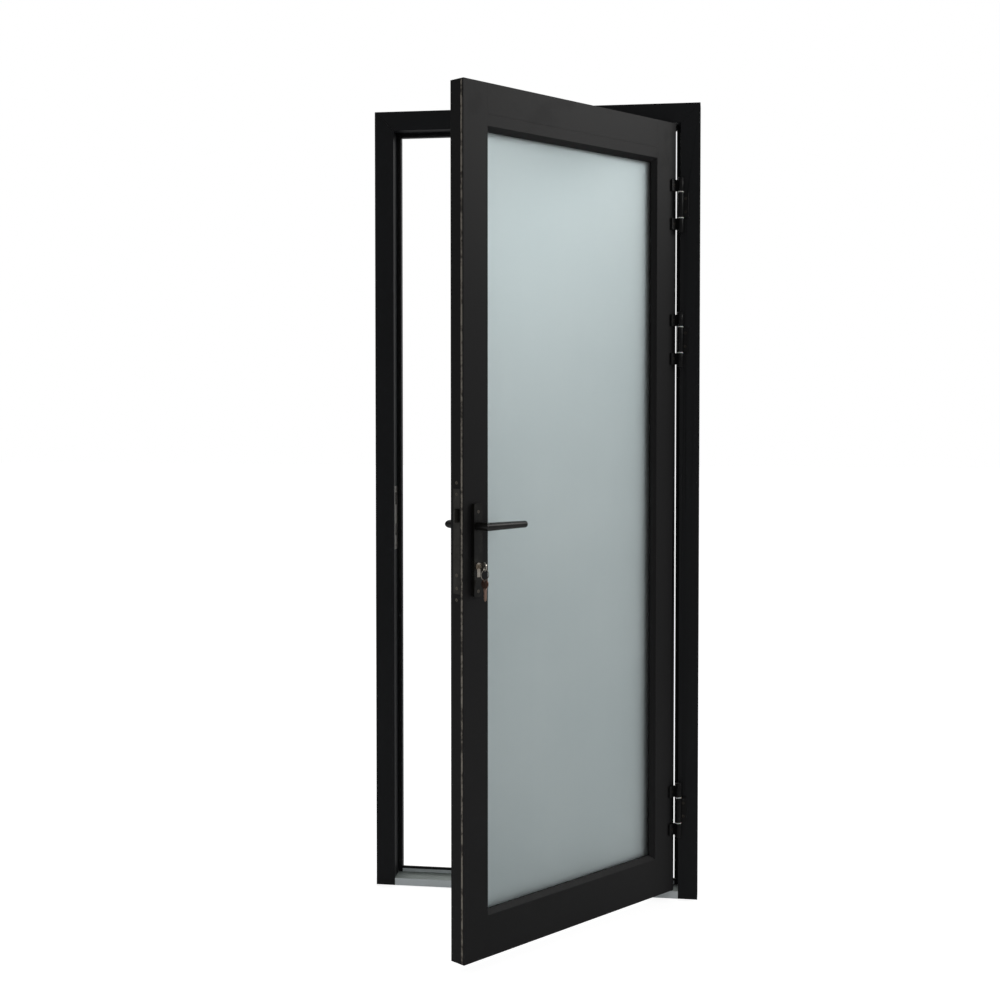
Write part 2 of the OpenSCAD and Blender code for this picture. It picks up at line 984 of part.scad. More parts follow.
// ---- glass ----

// Half width and the two heights of a rectangle set in by u and w from the leaf's edges
function rect_u(u) = leaf_x - u;
function rect_z0(w) = leaf_z0 + w;
function rect_z1(w) = leaf_z1 - w;

module leaf_ring(y0, y1, u0, w0, u1, w1) {
    along_y(y0, y1)
        ring_2d(rect_u(u0), rect_z0(w0), rect_z1(w0), rect_u(u1), rect_z0(w1), rect_z1(w1));
}

module glass_pane() {
    u = stile_body + glass_edge_gap;
    w = rail_body + glass_edge_gap;
    color(glass_color)
        leaf_space()
            box([-rect_u(u), glass_y, rect_z0(w)], [rect_u(u), glass_y + glass_t, rect_z1(w)]);
}

gasket_w = 7;
gasket_out = 0.6;

module outer_gasket() {
    color(rubber_color)
        leaf_space()
            leaf_ring(lip_y, glass_y, sight_u - gasket_w, sight_w - gasket_w,
                sight_u + gasket_out, sight_w + gasket_out);
}

module inner_gasket() {
    color(rubber_color)
        leaf_space()
            leaf_ring(glass_y + glass_t, bead_y, sight_u - gasket_w, sight_w - gasket_w,
                sight_u + gasket_out, sight_w + gasket_out);
}

module setting_blocks() {
    y0 = glass_y - 1;
    y1 = glass_y + glass_t + 2;
    from_corner = 170;
    u0 = leaf_x - stile_body - glass_edge_gap;
    x0 = u0 - from_corner;
    color(rubber_color)
        leaf_space() {
            for (s = [-1, 1])
                scale([s, 1, 1])
                    box([x0 - block_l / 2, y0, rect_z0(rail_body)],
                        [x0 + block_l / 2, y1, rect_z0(rail_body + glass_edge_gap)]);
            box([-u0 - glass_edge_gap, y0, rect_z1(sight_w + from_corner)],
                [-u0, y1, rect_z1(sight_w + from_corner - block_l)]);
            box([u0, y0, rect_z0(sight_w + from_corner - block_l)],
                [u0 + glass_edge_gap, y1, rect_z0(sight_w + from_corner)]);
        }
}

// Bead section: u runs in from the body's face, y runs back
module bead_section(width) {
    w = 1.6;
    y1 = leaf_t;
    cut = 3;
    difference() {
        polygon([
            [fit, bead_y], [width, bead_y], [width, y1 - cut], [width - cut, y1], [fit, y1]
        ]);
        polygon([
            [fit + w, bead_y + w], [width - w, bead_y + w], [width - w, y1 - cut - w / 2],
            [width - cut - w / 2, y1 - w], [fit + w, y1 - w]
        ]);
    }
}

side_bead_w = sight_u + bead_over - stile_body;
rail_bead_w = sight_w + bead_over - rail_body;

module side_bead() {
    w = sight_w + bead_over + joint_gap;
    translate([-leaf_x + stile_body, 0, rect_z0(w)])
        linear_extrude(height = rect_z1(w) - rect_z0(w))
            bead_section(side_bead_w);
}

module rail_bead() {
    translate([0, 0, rail_body])
        across(rail_length - 2 * joint_gap)
            bead_section(rail_bead_w);
}

module lock_side_bead() {
    color(leaf_color)
        leaf_space()
            side_bead();
}

module hinge_side_bead() {
    color(leaf_color)
        leaf_space()
            scale([-1, 1, 1])
                side_bead();
}

module bottom_bead() {
    color(leaf_color)
        leaf_space()
            bottom_rail_place()
                rail_bead();
}

module top_bead() {
    color(leaf_color)
        leaf_space()
            top_rail_place()
                rail_bead();
}

module leaf_edge_seal() {
    color([0.62, 0.60, 0.56])
        leaf_space()
            box([-leaf_x - edge_seal_out, edge_seal_y + fit, leaf_z0 + fit],
                [-leaf_x + edge_seal_deep, edge_seal_y + edge_seal_w - fit, leaf_z1 - fit]);
}

// ---- lock ----

module lock_case() {
    y0 = lock_y - case_t / 2;
    y1 = lock_y + case_t / 2;
    w = case_wall;
    color(steel_color)
        from_lock_edge()
            difference() {
                box([case_u0, y0, case_z0], [case_u1, y1, case_z1]);
                box([case_u0 + w, y0 + w, case_z0 + w], [case_u1 - w, y1 - w, case_z1 - w]);
                bolt_hole(case_u0 - past, case_u0 + w + past, latch_t, latch_h, latch_z);
                bolt_hole(case_u0 - past, case_u0 + w + past, deadbolt_t, deadbolt_h, deadbolt_z);
                rod_y(y0 - past, y1 + past, backset, handle_z, follower_r + run);
                translate([backset, 0, cyl_z])
                    along_y(y0 - past, y1 + past)
                        cylinder_2d(0.3);
                rod_y(y0 - past, y1 + past, backset, handle_z + plate_screw_up, plate_screw_r + 0.5);
                rod_x(case_u0 - past, case_u0 + w + past, lock_y, cyl_z - cyl_screw_drop, cyl_screw_r + fit);
            }
}

// A hole for a bolt that is t thick and h high
module bolt_hole(u0, u1, t, h, z) {
    box([u0, lock_y - t / 2 - fit, z - h / 2 - fit], [u1, lock_y + t / 2 + fit, z + h / 2 + fit]);
}

module lock_faceplate() {
    color([0.42, 0.40, 0.37])
        difference() {
            from_lock_edge()
                difference() {
                    box([0, lock_y - faceplate_w / 2, face_z0], [faceplate_t, lock_y + faceplate_w / 2, face_z1]);
                    bolt_hole(-past, faceplate_t + past, latch_t, latch_h, latch_z);
                    bolt_hole(-past, faceplate_t + past, deadbolt_t, deadbolt_h, deadbolt_z);
                }
            leaf_space() {
                edge_screw_places(face_screw_z)
                    csk_hole(small_screw_r, small_head_r, small_screw_l);
                edge_screw_places([cyl_z - cyl_screw_drop])
                    csk_hole(cyl_screw_r, cyl_screw_r + 1.8, small_screw_l);
            }
        }
}

// Blocks behind the edge wall that take the faceplate's screws
module lock_brackets() {
    u0 = faceplate_t + 0.05;
    deep = 11;
    color(alu_color)
        difference() {
            from_lock_edge() {
                box([u0, lock_y - 9, wall_screw_z[0] - 7], [u0 + deep, lock_y + 9, case_z0 - 1.5]);
                box([u0, lock_y - 9, case_z1 + 1.5], [u0 + deep, lock_y + 9, wall_screw_z[1] + 7]);
            }
            leaf_space()
                edge_screw_places(concat(face_screw_z, wall_screw_z))
                    cylinder(h = 4 * small_screw_l, r = small_screw_r + run, center = true);
        }
}

module lock_edge_screws() {
    color(steel_color)
        leaf_space()
            edge_screw_places(concat(face_screw_z, wall_screw_z))
                csk_screw(small_screw_r, small_head_r, small_screw_l - 3);
}

// Latch bolt with a slope on its back, a tail over the follower and a lug behind the arm
module latch_bolt() {
    z0 = latch_z - latch_h / 2;
    lug_u = backset + arm_w / 2 + latch_slack;
    color(steel_color)
        from_lock_edge() {
            translate([0, 0, z0])
                linear_extrude(height = latch_h)
                    polygon([
                        [case_u0 + 7, lock_y - latch_t / 2], [-latch_throw, lock_y - latch_t / 2],
                        [-latch_throw, lock_y - latch_t / 2 + 3], [-1, lock_y + latch_t / 2],
                        [case_u0 + 7, lock_y + latch_t / 2]
                    ]);
            box([case_u0 + 6, lock_y - 3, latch_tail_z0], [lug_u + 5, lock_y + 3, latch_tail_z0 + latch_tail_h]);
            box([lug_u, lock_y - 3, handle_z + 12], [lug_u + 5, lock_y + 3, latch_tail_z0 + 1]);
        }
}

module deadbolt() {
    z0 = deadbolt_z - deadbolt_h / 2;
    color(steel_color)
        from_lock_edge() {
            box([0.2, lock_y - deadbolt_t / 2, z0], [26, lock_y + deadbolt_t / 2, z0 + deadbolt_h]);
            box([25, lock_y - 3, z0 + 2], [54, lock_y + 3, z0 + 16]);
        }
}

module lock_follower() {
    half = case_t / 2 - 0.3;
    sq = spindle_sq + fit;
    color(steel_color)
        from_lock_edge()
            difference() {
                union() {
                    rod_y(lock_y - half, lock_y + half, backset, handle_z, follower_r);
                    box([backset - arm_w / 2, lock_y - 4, handle_z],
                        [backset + arm_w / 2, lock_y + 4, handle_z + arm_r]);
                }
                translate([backset, lock_y, handle_z])
                    cube([sq, case_t + past, sq], center = true);
            }
}

module handle_spindle() {
    reach = lever_out - lever_front - 1;
    color(steel_color)
        from_lock_edge()
            box([backset - spindle_sq / 2, -reach, handle_z - spindle_sq / 2],
                [backset + spindle_sq / 2, leaf_t + reach, handle_z + spindle_sq / 2]);
}

// ---- handle furniture, described on the pull side about the spindle's axis ----

// The back is the same furniture turned over: it lies beyond the leaf
module outside_place() {
    from_lock_edge()
        translate([backset, 0, 0])
            children();
}

module inside_place() {
    from_lock_edge()
        translate([backset, leaf_t, 0])
            scale([1, -1, 1])
                children();
}

module backplate() {
    difference() {
        along_y(-plate_t, 0)
            translate([0, plate_mid_z])
                round_rect(plate_w, plate_h, 5);
        rod_y(-plate_t - past, past, 0, handle_z, journal_r + run);
        rod_y(-spring_recess, past, 0, handle_z, spring_recess_r);
        translate([0, 0, cyl_z])
            along_y(-plate_t - past, past)
                cylinder_2d(0.3);
    }
}

module outside_backplate() {
    color(handle_color)
        outside_place()
            difference() {
                backplate();
                for (z = [handle_z + plate_screw_up, handle_z - plate_screw_low])
                    translate([0, -plate_t, z])
                        rotate([90, 0, 0])
                            csk_hole(plate_screw_r, small_head_r, 2 * plate_t);
            }
}

module inside_backplate() {
    color(handle_color)
        inside_place()
            difference() {
                backplate();
                for (z = [handle_z + plate_screw_up, handle_z - plate_screw_low])
                    rod_y(-plate_t + 2, past, 0, z, plate_screw_r + run);
            }
}

module backplate_screws() {
    color(steel_color)
        leaf_space()
            plate_screw_places()
                translate([0, -plate_t, 0])
                    rotate([90, 0, 0])
                        csk_screw(plate_screw_r, small_head_r, leaf_t + 2 * plate_t - 3);
}

// A point of a coil of radius r about the y axis
function coil_point(r, a, y) = [r * cos(a), y, r * sin(a)];

// Torsion spring that returns the lever, wound round its journal
module torsion_coil() {
    sides = 8;
    per_turn = 12;
    rings = spring_turns * per_turn;
    pitch = 2 * spring_wire_r + 0.2;
    y0 = -spring_recess + 1.2;
    points = [
        for (i = [0:rings], j = [0:sides - 1])
            let (a = 360 * i / per_turn, b = 360 * j / sides)
            coil_point(spring_r + spring_wire_r * cos(b), a, y0 + pitch * i / per_turn + spring_wire_r * sin(b))
    ];
    side_faces = [
        for (i = [0:rings - 1], j = [0:sides - 1])
            let (k = (j + 1) % sides, m = i * sides, n = m + sides)
            [m + j, m + k, n + k, n + j]
    ];
    first = [for (j = [0:sides - 1]) sides - 1 - j];
    last = [for (j = [0:sides - 1]) rings * sides + j];
    translate([0, 0, handle_z])
        polyhedron(points = points, faces = concat(side_faces, [first, last]));
}

module return_springs() {
    color(steel_color) {
        outside_place()
            torsion_coil();
        inside_place()
            torsion_coil();
    }
}

// One side of the lever's mitre: x runs along the grip, and the neck is on the side of y
module mitre_side(points) {
    linear_extrude(height = 2 * lever_d, center = true)
        polygon(points);
}

// A round neck and a tapering round grip, mitred where they meet
module lever() {
    r = lever_d / 2;
    grip_r = r - mitre_step;
    tip_r = lever_tip_d / 2;
    grip_y = r - lever_out;
    far = 2 * lever_l;
    sq = spindle_sq + fit;
    reach = lever_out - lever_front;
    translate([0, 0, handle_z])
        difference() {
            union() {
                intersection() {
                    rod_y(-lever_out - past, -plate_t - lever_gap, 0, 0, r);
                    translate([0, grip_y])
                        mitre_side([[-far, -far], [far, far], [-far, far]]);
                }
                intersection() {
                    translate([0, grip_y])
                        rotate([90, 0, 90])
                            rotate_extrude()
                                polygon([
                                    [0, -r - past], [grip_r, -r - past], [grip_r, r],
                                    [tip_r, lever_l - tip_round],
                                    for (a = [30:30:90])
                                        [tip_r - tip_round * (1 - cos(a)), lever_l - tip_round * (1 - sin(a))],
                                    [0, lever_l]
                                ]);
                    translate([0, grip_y])
                        mitre_side([[-far, -far], [far, -far], [far, far]]);
                }
                rod_y(-plate_t - 1, -1, 0, 0, journal_r);
            }
            box([-sq / 2, -reach, -sq / 2], [sq / 2, past, sq / 2]);
        }
}

module outside_lever() {
    color(handle_color)
        outside_place()
            lever();
}

module inside_lever() {
    color(handle_color)
        inside_place()
            lever();
}

// ---- cylinder and keys ----

cyl_y0 = -plate_t - cyl_proud;
cyl_y1 = leaf_t + plate_t + cyl_proud;
cam_y0 = lock_y - cam_gap / 2;
cam_y1 = lock_y + cam_gap / 2;

module cylinder_body() {
    color(steel_color)
        from_lock_edge()
            translate([backset, 0, cyl_z])
                difference() {
                    along_y(cyl_y0, cyl_y1)
                        cylinder_2d(0);
                    rod_y(cyl_y0 - past, cyl_y1 + past, 0, 0, plug_r + run);
                    box([-2 * cyl_r, cam_y0, -cam_reach - 0.7], [2 * cyl_r, cam_y1, 2 * cyl_r]);
                    rod_x(-cyl_r, cyl_r, lock_y, -cyl_screw_drop, cyl_screw_r + run);
                }
}

module cylinder_screw() {
    color(steel_color)
        leaf_space()
            edge_screw_places([cyl_z - cyl_screw_drop])
                csk_screw(cyl_screw_r, cyl_screw_r + 1.8, backset + 3);
}

// A plug that is turned from the face at y = 0 and runs back into the cylinder
module plug(length, tail) {
    difference() {
        union() {
            rod_y(-plug_proud, length - fit, 0, 0, plug_r);
            rod_y(0, length - fit + tail, 0, 0, plug_tail_r);
        }
        box([-key_t / 2 - run, -plug_proud - past, -keyway_h / 2],
            [key_t / 2 + run, length - 4, keyway_h / 2]);
    }
}

module outside_plug() {
    color([0.80, 0.76, 0.66])
        from_lock_edge()
            translate([backset, cyl_y0, cyl_z])
                plug(cam_y0 - cyl_y0, cam_gap / 2);
}

module inside_plug() {
    color([0.80, 0.76, 0.66])
        from_lock_edge()
            translate([backset, cyl_y1, cyl_z])
                scale([1, -1, 1])
                    plug(cyl_y1 - cam_y1, cam_gap / 2 - fit);
}

module cylinder_cam() {
    color(steel_color)
        from_lock_edge()
            translate([backset, 0, cyl_z])
                difference() {
                    union() {
                        rod_y(cam_y0 + fit, cam_y1 - fit, 0, 0, cam_r);
                        box([0, cam_y0 + fit, -3.5], [cam_reach - 0.5, cam_y1 - fit, 3.5]);
                    }
                    rod_y(cam_y0 - past, cam_y1 + past, 0, 0, plug_tail_r + run);
                }
}

// A flat key in y and z: bow at the front, blade running back, its hole near the rim
module key_outline(hole_dy, hole_dz) {
    difference() {
        union() {
            circle(r = bow_r);
            polygon([
                [0, -blade_h / 2 - 1], [bow_r + 2, -blade_h / 2 - 1], [bow_r + 2, -blade_h / 2],
                [bow_r + blade_l - 3, -blade_h / 2], [bow_r + blade_l, -blade_h / 2 + 3],
                [bow_r + blade_l - 2, blade_h / 2 - 1.5], [bow_r + blade_l - 6, blade_h / 2 - 3],
                [bow_r + blade_l - 9, blade_h / 2 - 1], [bow_r + blade_l - 13, blade_h / 2 - 2.5],
                [bow_r + blade_l - 16, blade_h / 2], [bow_r + 2, blade_h / 2],
                [bow_r + 2, blade_h / 2 + 1], [0, blade_h / 2 + 1]
            ]);
        }
        translate([hole_dy, hole_dz])
            circle(r = bow_hole_r);
    }
}

module door_key() {
    bow_y = cyl_y0 - bow_out;
    color(steel_color)
        from_lock_edge()
            translate([backset, bow_y, cyl_z])
                along_x(-key_t / 2, key_t / 2)
                    key_outline(hole_y - bow_y, hole_z - cyl_z);
}

module key_ring() {
    color(steel_color)
        from_lock_edge()
            translate([backset, hole_y, ring_top_z - ring_r])
                rotate([90, 0, 0])
                    rotate_extrude()
                        translate([ring_r, 0])
                            circle(r = ring_wire_r, $fn = 24);
}

module spare_key() {
    hole_in = 6.5;
    color([0.74, 0.62, 0.56])
        from_lock_edge()
            translate([backset, hole_y, spare_hole_z - hole_in])
                along_x(-key_t / 2, key_t / 2)
                    rotate(-90)
                        key_outline(-hole_in, 0);
}

// ---- output ----

frame_lock_jamb();
frame_hinge_jamb();
frame_head();
threshold();
threshold_seal();
frame_gasket();
frame_corner_cleats();
strike_plate();
frame_hardware_screws();
hinge_frame_plate(0);  // hinge_1_frame_plate
hinge_frame_plate(1);  // hinge_2_frame_plate
hinge_frame_plate(2);  // hinge_3_frame_plate
hinge_washers();
hinge_wing(0, 1);  // hinge_1_upper_wing
hinge_wing(0, -1);  // hinge_1_lower_wing
hinge_wing(1, 1);  // hinge_2_upper_wing
hinge_wing(1, -1);  // hinge_2_lower_wing
hinge_wing(2, 1);  // hinge_3_upper_wing
hinge_wing(2, -1);  // hinge_3_lower_wing
hinge_pins();
hinge_wing_screws();
leaf_lock_stile();
leaf_hinge_stile();
leaf_top_rail();
leaf_bottom_rail();
top_rail_strip();
leaf_corner_cleats();
leaf_corner_screws();
glass_pane();
outer_gasket();
inner_gasket();
setting_blocks();
top_bead();
bottom_bead();
lock_side_bead();
hinge_side_bead();
leaf_edge_seal();
lock_case();
lock_faceplate();
lock_brackets();
lock_edge_screws();
outside_backplate();
inside_backplate();
backplate_screws();
return_springs();
cylinder_body();
cylinder_screw();
inside_plug();
latch_bolt();
deadbolt();
lock_follower();
handle_spindle();
outside_lever();
inside_lever();
outside_plug();
cylinder_cam();
door_key();
key_ring();
spare_key();
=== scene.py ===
# %% [markdown]
# # A framed glass door, standing open
# This lesson dresses a finished CAD model of a glazed aluminium door: the frame with its threshold,
# the leaf with a frosted pane, three hinges, lever handles, a lock and two keys on a split ring.
# The CAD parts give every size and every place, so nothing on the door is measured by eye. We give
# them softened edges and finishes, and build the pieces that need finer shapes than the CAD has.

# %% Load the frame
import json
import math
import random

import bmesh
import bpy
from mathutils import Matrix, Vector


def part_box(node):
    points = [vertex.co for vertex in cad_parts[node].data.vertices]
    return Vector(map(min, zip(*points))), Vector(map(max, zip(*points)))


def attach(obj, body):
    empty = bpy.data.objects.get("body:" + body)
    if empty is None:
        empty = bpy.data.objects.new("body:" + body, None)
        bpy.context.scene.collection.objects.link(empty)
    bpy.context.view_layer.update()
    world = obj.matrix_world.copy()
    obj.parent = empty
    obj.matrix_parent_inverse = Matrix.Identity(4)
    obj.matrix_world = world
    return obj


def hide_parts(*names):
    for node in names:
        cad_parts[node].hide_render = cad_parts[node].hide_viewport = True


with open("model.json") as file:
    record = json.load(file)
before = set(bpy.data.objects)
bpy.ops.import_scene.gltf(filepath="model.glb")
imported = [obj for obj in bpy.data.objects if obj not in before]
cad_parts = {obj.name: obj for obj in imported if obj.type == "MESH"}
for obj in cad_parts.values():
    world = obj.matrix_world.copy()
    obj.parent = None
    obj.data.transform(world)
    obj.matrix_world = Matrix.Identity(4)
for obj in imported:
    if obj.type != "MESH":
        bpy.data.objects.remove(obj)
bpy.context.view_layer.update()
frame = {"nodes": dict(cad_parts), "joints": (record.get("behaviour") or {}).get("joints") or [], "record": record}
nodes = frame["nodes"]

# %% [markdown]
# ## Where things are
# The door was drawn closed and stands open in the model, turned about its hinge axis. Small pieces
# on the leaf are much easier to describe on the closed door: x runs along the leaf from its lock
# edge, y runs back from its front face, and z is the height, all in millimetres. One matrix then
# carries them to their place. The hinge joint in the record gives the axis, and its lower limit is
# the closed door, so the opening angle comes from there as well.

# %% Places on the leaf
MM = 0.001
LEAF_HALF = 0.380       # half the leaf's width, in metres

joints = {joint["name"]: joint for joint in frame["joints"]}
open_angle = -math.radians(joints["leaf_swing"]["range_deg"][0])
hinge_axis = Vector(joints["leaf_swing"]["pos_m"])
frame_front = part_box("frame_lock_jamb")[0].y
turn = (Matrix.Translation(hinge_axis) @ Matrix.Rotation(open_angle, 4, "Z")
        @ Matrix.Translation(-hinge_axis))
on_leaf = turn @ Matrix.Translation((-LEAF_HALF, frame_front, 0)) @ Matrix.Scale(MM, 4)
to_leaf = on_leaf.inverted()


def joint_place(name):
    """Where a joint's axis passes, in the leaf's own millimetres."""
    return to_leaf @ Vector(joints[name]["pos_m"])


def leaf_box(name):
    """A CAD node's lowest and highest corners, in the leaf's own millimetres."""
    points = [to_leaf @ v.co for v in nodes[name].data.vertices]
    return Vector(map(min, zip(*points))), Vector(map(max, zip(*points)))


cylinder = joint_place("key_turn")
door_key_hole = joint_place("ring_swing")
spare_key_hole = joint_place("spare_key_swing")
print("the leaf stands open by", round(math.degrees(open_angle), 1), "degrees")
print("the cylinder is at", [round(v, 1) for v in cylinder])

# %% [markdown]
# ## Writing shader nodes as sums
# A finish is a small network of nodes. Wiring each one by hand is long and hard to read, so one
# class wraps a node's output and lets us write `1 - mask * 0.5`: each operator adds a Math node.
# Every other kind of node comes from one method, `node`, which takes the node's type, its settings
# and the values or wires of its sockets. The room's light is such a network too, so the methods
# that add nodes sit in a class of their own, and a finish adds only the Principled shader.

# %% The wire, the network and the finish
class Wire:
    """The output of a node, which can be used in sums."""

    def __init__(self, network, socket):
        self.network, self.socket = network, socket

    def sum(self, operation, first, second):
        return self.network.node("ShaderNodeMath", {"operation": operation}, {0: first, 1: second})

    def __add__(self, other):
        return self.sum("ADD", self, other)

    def __sub__(self, other):
        return self.sum("SUBTRACT", self, other)

    def __rsub__(self, other):
        return self.sum("SUBTRACT", other, self)

    def __mul__(self, other):
        return self.sum("MULTIPLY", self, other)

    __radd__, __rmul__ = __add__, __mul__


class Network:
    """The nodes of one tree, a finish's or the room's."""

    def __init__(self, tree):
        self.tree = tree

    def node(self, kind, settings=None, sockets=None, out=0):
        """Add a node and return one of its outputs."""
        made = self.tree.nodes.new(kind)
        for key, value in (settings or {}).items():
            if key == "stops":
                for stop, (place, colour) in zip(made.color_ramp.elements, value):
                    stop.position, stop.color = place, (*colour, 1)
            else:
                setattr(made, key, value)
        for key, value in (sockets or {}).items():
            self.feed(made.inputs[key], value)
        return Wire(self, made.outputs[out])

    def feed(self, socket, value):
        if isinstance(value, Wire):
            self.tree.links.new(value.socket, socket)
        else:
            socket.default_value = value

    def noise(self, scale, detail=3, rough=0.5, stretch=(1, 1, 1)):
        """Smooth noise over the object; scale is the number of its cells in a metre."""
        here = self.node("ShaderNodeTexCoord", out="Object")
        where = self.node("ShaderNodeMapping", {}, {"Vector": here, "Scale": stretch}, "Vector")
        return self.node("ShaderNodeTexNoise", {}, {"Vector": where, "Scale": scale,
                                                    "Detail": detail, "Roughness": rough}, "Fac")

    def mask(self, value, low, high):
        """0 where value is under low, 1 where it is over high, and even between."""
        return self.node("ShaderNodeMapRange", {"clamp": True},
                         {"Value": value, "From Min": low, "From Max": high})

    def tint(self, mask, first, second):
        """One colour where the mask is 0 and another where it is 1."""
        return self.node("ShaderNodeValToRGB", {"stops": [(0, first), (1, second)]},
                         {"Fac": mask}, "Color")

    def bump(self, height, distance, strength):
        """The surface's direction where its height changes; distance is in metres."""
        return self.node("ShaderNodeBump", {},
                         {"Height": height, "Distance": distance, "Strength": strength}, "Normal")


class Finish(Network):
    """One procedural material on the Principled shader."""

    def __init__(self, name, **constants):
        self.material = bpy.data.materials.new(name)
        self.material.use_nodes = True
        super().__init__(self.material.node_tree)
        self.shader = self.tree.nodes["Principled BSDF"]
        self.set(**constants)
        finishes[name] = self.material

    def set(self, **values):
        """Feed the shader's sockets; base_color stands for Base Color, and so on."""
        for name, value in values.items():
            socket = name.replace("_", " ").title().replace("Ior", "IOR")
            self.feed(self.shader.inputs[socket], value)


finishes = {}
print("the finish class is ready")

# %% [markdown]
# ## Powder coat
# Frame and leaf are aluminium extrusions with a charcoal polyester powder coat. Baked powder is
# never optically flat: it has a very fine grain with a soft, larger orange peel under it, and its
# gloss changes a little from place to place. We drive the roughness and a shallow bump from two
# noises. The colour is a nearly black grey with a breath of blue; the low, broad noise keeps a
# two-metre face from looking like one flat patch. The hinges are darker still.

# %% Coated aluminium
PEEL_DEPTH = 0.00016    # metres


def powder_coat(name, dark, light, rough):
    coat = Finish(name, metallic=0, specular_ior_level=0.19)
    cloud = coat.mask(coat.noise(2.5, 2), 0.3, 0.7)
    grain = coat.noise(900, 2)
    peel = coat.noise(140, 1)
    handled = coat.mask(coat.noise(11, 4, 0.6), 0.55, 0.75)
    coat.set(base_color=coat.tint(cloud, dark, light),
             roughness=rough + handled * 0.05 - grain * 0.08,
             normal=coat.bump(grain * 0.6 + peel, PEEL_DEPTH, 0.55))


powder_coat("frame_coat", (0.0105, 0.0111, 0.0125), (0.0135, 0.0141, 0.0156), 0.50)
powder_coat("leaf_coat", (0.0110, 0.0109, 0.0114), (0.0140, 0.0137, 0.0144), 0.48)
powder_coat("hinge_coat", (0.0055, 0.0055, 0.006), (0.0085, 0.0085, 0.009), 0.40)
print("coats:", ", ".join(finishes))

# %% [markdown]
# ## Frosted glass
# The pane is one sheet of toughened glass with an etched face. Clear glass with a rough surface is
# the honest way to make it: full transmission with a high roughness, so light from behind comes
# through as an even glow with no shapes in it. The etch is a little uneven and leaves fine upright
# streaks; a faint green-blue tint is the glass's own colour, seen through 8 mm.

# %% Frosted pane
ETCH_DEPTH = 0.0002     # metres

frost = Finish("frosted_glass", transmission_weight=1.0, ior=1.46, specular_ior_level=0.5)
streaks = frost.noise(26, 4, 0.6, stretch=(1, 1, 0.06))
cloudy = frost.mask(frost.noise(3.2, 3), 0.25, 0.75)
etch = frost.noise(700, 2)
frost.set(base_color=frost.tint(cloudy * 0.55 + streaks * 0.45,
                                (0.60, 0.68, 0.69), (0.68, 0.75, 0.755)),
          roughness=0.62 + streaks * 0.10,
          normal=frost.bump(etch, ETCH_DEPTH, 0.5))
print("frosted glass is ready")

# %% [markdown]
# ## Bare metals
# The faceplate and the strike are brushed steel, the cylinder and the keys are nickel and brass,
# and the screws are blackened. They differ in colour, gloss and the direction of their fine lines,
# so one recipe makes them all: a noise that is stretched along the brushing direction gives the
# lines, and a second, broad one gives the stains that handling leaves. The threshold is natural
# anodised aluminium, a clear and slightly milky skin over the metal. It gets a recipe of its own:
# its upward faces are painted far darker, as painted shade, told apart by the surface's own direction.

# %% Brushed, plated and anodised metal
BRUSH_DEPTH = 0.00004   # metres
DRAWN_DEPTH = 0.00003


def metal(name, colour, worn, rough, stretch=(1, 1, 1), lines=500):
    plate = Finish(name, metallic=1.0)
    brushed = plate.noise(lines, 3, 0.6, stretch)
    stains = plate.mask(plate.noise(38, 4, 0.65), 0.45, 0.72)
    plate.set(base_color=plate.tint(stains, colour, worn),
              roughness=rough + brushed * 0.12 + stains * 0.10,
              normal=plate.bump(brushed, BRUSH_DEPTH, 0.6))


metal("zinc_steel", (0.36, 0.35, 0.33), (0.26, 0.25, 0.23), 0.30)
metal("faceplate_steel", (0.090, 0.087, 0.082), (0.062, 0.06, 0.057), 0.36, (1, 1, 0.02), 1200)
metal("nickel", (0.60, 0.56, 0.50), (0.44, 0.38, 0.31), 0.13, (1, 1, 0.2), 700)
metal("key_brass", (0.66, 0.45, 0.36), (0.40, 0.26, 0.20), 0.26, (1, 1, 0.2), 700)
# Painted reflection: a dark brown for the spare key's bow, standing in for the dark room it mirrors.
metal("dark_reflection_brass", (0.17, 0.10, 0.075), (0.08, 0.05, 0.04), 0.34, lines=700)
metal("blackened_steel", (0.17, 0.155, 0.135), (0.26, 0.23, 0.19), 0.22)
metal("black_screw_steel", (0.045, 0.041, 0.037), (0.075, 0.067, 0.058), 0.28)

sill = Finish("natural_aluminium", specular_ior_level=0.5)
normal = sill.node("ShaderNodeNewGeometry", out="Normal")
upward = sill.node("ShaderNodeSeparateXYZ", {}, {0: normal}, "Z")
# Painted shade: faces that look up get a far darker colour; the smear noise adds real stains.
upward_faces = sill.mask(upward, 0.35, 0.9)
drawn = sill.noise(900, 3, 0.6, stretch=(0.02, 1, 1))
smear = sill.mask(sill.noise(9, 4, 0.6), 0.35, 0.75)
sill.set(base_color=sill.tint(upward_faces * 0.85 + smear * 0.12,
                              (0.87, 0.92, 0.94), (0.30, 0.335, 0.31)),
         metallic=0.30 - upward_faces * 0.15,
         roughness=0.46 + upward_faces * 0.2 + drawn * 0.1,
         normal=sill.bump(drawn, DRAWN_DEPTH, 0.5))
print("metals:", ", ".join(n for n in finishes if "coat" not in n and n != "frosted_glass"))

# %% [markdown]
# ## Handle lacquer, rubber, nylon and the brush seal
# The levers and their plates have a smooth satin black lacquer that hands have polished a little
# along the grip. The gaskets are matte rubber with a fine skin. The washers between the knuckles
# are white nylon. The strip in the leaf's edge is a grey pile seal: its fibres are built further
# down, and the finish gives them the dust that collects in patches.

# %% Lacquer, rubber, nylon, pile
lacquer = Finish("handle_black", metallic=0, specular_ior_level=0.28, coat_roughness=0.2)
rubbed = lacquer.mask(lacquer.noise(45, 4, 0.6), 0.42, 0.70)
lacquer.set(base_color=lacquer.tint(rubbed, (0.0065, 0.0064, 0.0058), (0.0150, 0.0145, 0.0120)),
            roughness=0.33 - rubbed * 0.08,
            coat_weight=0.05 + rubbed * 0.2,
            normal=lacquer.bump(lacquer.noise(800, 2), 0.00005, 0.4))

